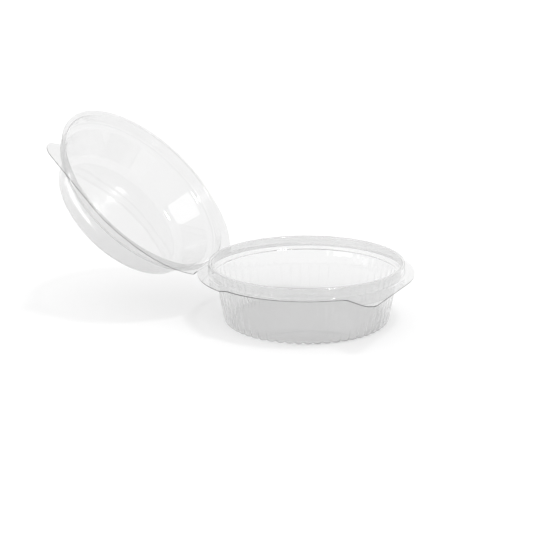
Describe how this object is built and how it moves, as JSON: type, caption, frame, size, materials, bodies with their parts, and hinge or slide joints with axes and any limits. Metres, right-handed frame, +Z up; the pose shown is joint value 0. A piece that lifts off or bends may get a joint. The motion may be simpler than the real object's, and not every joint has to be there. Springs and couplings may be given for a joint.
{
  "type": "plastic clamshell pack",
  "caption": "Clear thermoformed food pack: round fluted bowl with a folded rim and a hinged dome lid, standing open.",
  "frame": {"origin": "centre of the underside of the bowl's flat foot", "axes": "+Z up out of the bowl; the hinge lies at -X with its axis along Y; the tabs that open the pack point towards +X -Y"},
  "size_m": [0.2663, 0.1484, 0.1377],
  "materials": {
    "clear_bowl": "gloss",
    "clear_lid": "gloss"
  },
  "bodies": {
    "base": {"bowl": "clear_bowl"},
    "cover": {"lid": "clear_lid"}
  },
  "joints": [
    {"name": "lid_hinge", "type": "hinge", "parent": "base", "child": "cover", "pos_m": [-0.0739, 0, 0.03424], "axis": [0, -1, 0], "range_deg": [-135, 37]}
  ]
}
